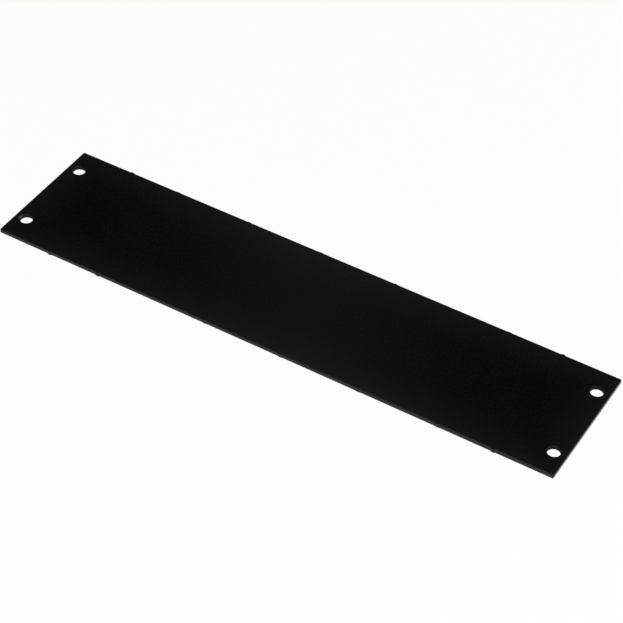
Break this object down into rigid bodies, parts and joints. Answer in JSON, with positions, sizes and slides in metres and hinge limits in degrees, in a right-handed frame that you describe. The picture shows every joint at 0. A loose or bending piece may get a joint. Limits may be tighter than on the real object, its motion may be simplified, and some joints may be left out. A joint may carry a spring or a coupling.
{
  "type": "rack blanking panel",
  "caption": "Flat black steel blanking panel with plain screw holes near its corners, to close an unused opening in a narrow equipment rack or console.",
  "frame": {"origin": "middle of the back face, which the panel lies on", "axes": "+X along the length, +Y across the width, +Z out of the front face"},
  "size_m": [0.216, 0.0514, 0.0015],
  "materials": {
    "powder_coat": "satin"
  },
  "bodies": {
    "root": {"blanking_panel": "powder_coat"}
  },
  "joints": []
}
